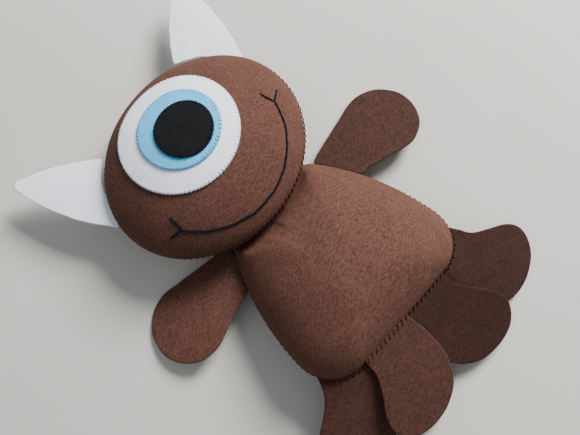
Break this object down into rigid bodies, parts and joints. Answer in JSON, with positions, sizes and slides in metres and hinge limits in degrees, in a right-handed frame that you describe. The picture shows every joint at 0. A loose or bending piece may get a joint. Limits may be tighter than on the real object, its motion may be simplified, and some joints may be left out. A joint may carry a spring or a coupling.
{
  "type": "hand puppet",
  "caption": "Padded felt hand puppet of a one-eyed horned creature, lying on its back, with a hand pocket behind a stuffed front.",
  "frame": {"origin": "on the flat back, below the middle of the body, on the table it lies on", "axes": "+Z out of the face, away from the table; +Y from the feet to the head; +X to the right as seen when facing the puppet"},
  "size_m": [0.2329, 0.3172, 0.0622],
  "materials": {
    "brown_felt": "matt heathered craft felt",
    "white_felt": "matt craft felt",
    "blue_felt": "matt craft felt",
    "black_felt": "matt craft felt",
    "brown_thread": "cotton thread",
    "white_thread": "cotton thread",
    "blue_thread": "cotton thread",
    "black_thread": "cotton thread",
    "stuffing": "loose polyester fibre"
  },
  "bodies": {
    "body": {"body_front_panel": "brown_felt", "body_stuffing": "stuffing", "pocket_lining": "brown_felt", "body_back_panel": "brown_felt", "side_seam_stitching": "brown_thread", "front_hem_stitching": "brown_thread"},
    "neck": {"neck_stitches": "brown_thread"},
    "head": {"head_front_panel": "brown_felt", "head_back_panel": "brown_felt", "head_stuffing": "stuffing", "head_seam_stitching": "brown_thread", "eye_white": "white_felt", "eye_white_stitches": "white_thread", "eye_iris": "blue_felt", "eye_iris_stitches": "blue_thread", "eye_pupil": "black_felt", "eye_pupil_stitches": "black_thread", "mouth_embroidery": "black_thread"},
    "left_horn": {"left_horn": "white_felt"},
    "right_horn": {"right_horn": "white_felt"},
    "left_arm": {"left_arm": "brown_felt"},
    "right_arm": {"right_arm": "brown_felt"},
    "left_inner_foot": {"left_inner_foot": "brown_felt"},
    "right_inner_foot": {"right_inner_foot": "brown_felt"},
    "left_outer_foot": {"left_outer_foot": "brown_felt"},
    "right_outer_foot": {"right_outer_foot": "brown_felt"}
  },
  "joints": [
    {"name": "head_nod", "type": "hinge", "parent": "body", "child": "neck", "pos_m": [0, 0.057, 0.012], "axis": [1, 0, 0], "range_deg": [-30, 5], "stiffness_Nm_per_rad": 0.02},
    {"name": "head_tilt", "type": "hinge", "parent": "neck", "child": "head", "pos_m": [0, 0.057, 0.012], "axis": [-0.0121, 0.0863, 0.9962], "range_deg": [-8, 8], "stiffness_Nm_per_rad": 0.03},
    {"name": "left_horn_flap", "type": "hinge", "parent": "head", "child": "left_horn", "pos_m": [-0.06487, 0.13322, 0.0235], "axis": [0.7936, 0.6069, -0.0429], "range_deg": [-20, 20], "stiffness_Nm_per_rad": 0.001},
    {"name": "right_horn_flap", "type": "hinge", "parent": "head", "child": "right_horn", "pos_m": [0.04226, 0.14827, 0.0235], "axis": [0.8946, -0.4441, 0.0494], "range_deg": [-20, 20], "stiffness_Nm_per_rad": 0.001},
    {"name": "left_arm_flap", "type": "hinge", "parent": "body", "child": "left_arm", "pos_m": [-0.04706, 0.04025, 0.01301], "axis": [0.4508, 0.8791, -0.155], "range_deg": [-25, 12], "stiffness_Nm_per_rad": 0.0012},
    {"name": "right_arm_flap", "type": "hinge", "parent": "body", "child": "right_arm", "pos_m": [0.04857, 0.0372, 0.01354], "axis": [0.433, -0.8877, 0.1565], "range_deg": [-25, 60], "stiffness_Nm_per_rad": 0.0012},
    {"name": "left_inner_foot_flap", "type": "hinge", "parent": "body", "child": "left_inner_foot", "pos_m": [-0.018, -0.0585, 0.0317], "axis": [-1, 0, 0], "range_deg": [0, 50], "stiffness_Nm_per_rad": 0.0012},
    {"name": "right_inner_foot_flap", "type": "hinge", "parent": "body", "child": "right_inner_foot", "pos_m": [0.018, -0.0585, 0.02995], "axis": [-1, 0, 0], "range_deg": [0, 50], "stiffness_Nm_per_rad": 0.0012},
    {"name": "left_outer_foot_flap", "type": "hinge", "parent": "body", "child": "left_outer_foot", "pos_m": [-0.04811, -0.05458, 0.02625], "axis": [-0.9136, 0.4067, 0], "range_deg": [-20, 0], "stiffness_Nm_per_rad": 0.0012},
    {"name": "right_outer_foot_flap", "type": "hinge", "parent": "body", "child": "right_outer_foot", "pos_m": [0.04811, -0.05458, 0.0245], "axis": [-0.9136, -0.4067, 0], "range_deg": [-20, 0], "stiffness_Nm_per_rad": 0.0012}
  ],
  "couplings": [
    {"joint": "right_inner_foot_flap", "follows": "left_inner_foot_flap", "ratio": 1}
  ]
}
